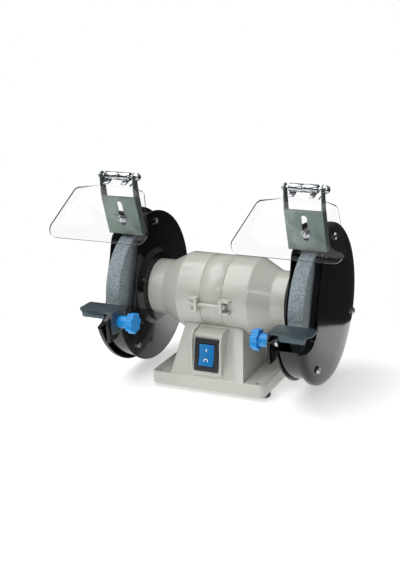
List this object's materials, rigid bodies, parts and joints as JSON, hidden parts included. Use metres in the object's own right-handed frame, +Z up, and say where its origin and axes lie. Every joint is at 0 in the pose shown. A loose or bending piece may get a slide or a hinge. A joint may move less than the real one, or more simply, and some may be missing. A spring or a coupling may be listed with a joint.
{
  "type": "bench grinder",
  "caption": "Bench grinder: a wheel in a guard at each end of a motor on a pedestal, with clear eye shields, adjustable tool rests and a rocker switch.",
  "frame": {"origin": "centre of the bounding box's bottom face, on the surface the feet stand on", "axes": "+X along the shaft towards the right-hand wheel, -Y towards the user, +Z up"},
  "size_m": [0.4916, 0.286, 0.3515],
  "materials": {
    "grey_enamel": "gloss enamel",
    "black_enamel": "gloss enamel",
    "steel": "machined",
    "chrome": "bright plated",
    "zinc_olive": "passivated",
    "abrasive": "gritty",
    "copper": "enamelled wire",
    "rubber": "matt",
    "plastic": "satin",
    "blue_plastic": "satin",
    "clear_sheet": "clear"
  },
  "bodies": {
    "base": {"base_casting": "grey_enamel", "foot_front_left": "rubber", "foot_front_right": "rubber", "foot_rear_left": "rubber", "foot_rear_right": "rubber", "switch_housing": "plastic", "capacitor": "plastic", "cable_gland": "rubber", "stator_band": "grey_enamel", "stator_core": "steel", "stator_winding": "copper", "tie_bolt_front": "chrome", "tie_bolt_rear": "chrome", "end_bell_left": "grey_enamel", "end_bell_right": "grey_enamel", "bearing_outer_left": "steel", "bearing_outer_right": "steel", "guard_pan_left": "black_enamel", "guard_pan_right": "black_enamel", "guard_cover_left": "black_enamel", "guard_cover_right": "black_enamel", "cover_bolt_top_left": "chrome", "cover_bolt_top_right": "chrome", "cover_bolt_rear_left": "chrome", "cover_bolt_rear_right": "chrome", "cover_bolt_front_left": "chrome", "cover_bolt_front_right": "chrome", "rest_arm_left": "black_enamel", "rest_arm_right": "black_enamel", "bracket_screw_left": "chrome", "bracket_screw_right": "chrome"},
    "rotor": {"rotor_shaft": "steel", "rotor_core": "steel", "bearing_inner_left": "steel", "bearing_inner_right": "steel", "grinding_wheel_left": "abrasive", "grinding_wheel_right": "abrasive", "inner_flange_left": "steel", "inner_flange_right": "steel", "outer_flange_left": "steel", "outer_flange_right": "steel", "arbor_nut_left": "steel", "arbor_nut_right": "steel"},
    "rocker": {"switch_rocker": "blue_plastic"},
    "rest_bolt_left": {"rest_bolt_left": "chrome"},
    "rest_left": {"tool_rest_left": "zinc_olive"},
    "knob_left": {"rest_knob_left": "blue_plastic"},
    "bracket_left": {"shield_bracket_left": "zinc_olive", "hinge_pin_left": "chrome"},
    "shield_left": {"shield_sleeve_left": "chrome", "eye_shield_left": "clear_sheet"},
    "rest_bolt_right": {"rest_bolt_right": "chrome"},
    "rest_right": {"tool_rest_right": "zinc_olive"},
    "knob_right": {"rest_knob_right": "blue_plastic"},
    "bracket_right": {"shield_bracket_right": "zinc_olive", "hinge_pin_right": "chrome"},
    "shield_right": {"shield_sleeve_right": "chrome", "eye_shield_right": "clear_sheet"}
  },
  "joints": [
    {"name": "rotor_spin", "type": "hinge", "parent": "base", "child": "rotor", "pos_m": [0, 0.013, 0.147], "axis": [1, 0, 0], "continuous": true},
    {"name": "rocker_press", "type": "hinge", "parent": "base", "child": "rocker", "pos_m": [0, -0.06488, 0.06673], "axis": [1, 0, 0], "range_deg": [-5, 5]},
    {"name": "rest_tilt_left", "type": "hinge", "parent": "base", "child": "rest_bolt_left", "pos_m": [-0.1325, -0.1145, 0.1243], "axis": [1, 0, 0], "range_deg": [-8, 12]},
    {"name": "rest_slide_left", "type": "slide", "parent": "rest_bolt_left", "child": "rest_left", "axis": [0, -1, 0], "range_m": [0, 0.0105]},
    {"name": "knob_turn_left", "type": "hinge", "parent": "rest_bolt_left", "child": "knob_left", "pos_m": [-0.1325, -0.1145, 0.1243], "axis": [1, 0, 0], "continuous": true},
    {"name": "bracket_slide_left", "type": "slide", "parent": "base", "child": "bracket_left", "axis": [0, -0.2807, 0.9598], "range_m": [0, 0.0075]},
    {"name": "shield_tilt_left", "type": "hinge", "parent": "bracket_left", "child": "shield_left", "pos_m": [-0.1578, -0.045, 0.3445], "axis": [1, 0, 0], "range_deg": [-75, 0]},
    {"name": "rest_tilt_right", "type": "hinge", "parent": "base", "child": "rest_bolt_right", "pos_m": [0.1325, -0.1145, 0.1243], "axis": [1, 0, 0], "range_deg": [-8, 12]},
    {"name": "rest_slide_right", "type": "slide", "parent": "rest_bolt_right", "child": "rest_right", "axis": [0, -1, 0], "range_m": [0, 0.0105]},
    {"name": "knob_turn_right", "type": "hinge", "parent": "rest_bolt_right", "child": "knob_right", "pos_m": [0.1325, -0.1145, 0.1243], "axis": [1, 0, 0], "continuous": true},
    {"name": "bracket_slide_right", "type": "slide", "parent": "base", "child": "bracket_right", "axis": [0, -0.2807, 0.9598], "range_m": [0, 0.0075]},
    {"name": "shield_tilt_right", "type": "hinge", "parent": "bracket_right", "child": "shield_right", "pos_m": [0.1578, -0.045, 0.3445], "axis": [1, 0, 0], "range_deg": [-75, 0]}
  ]
}
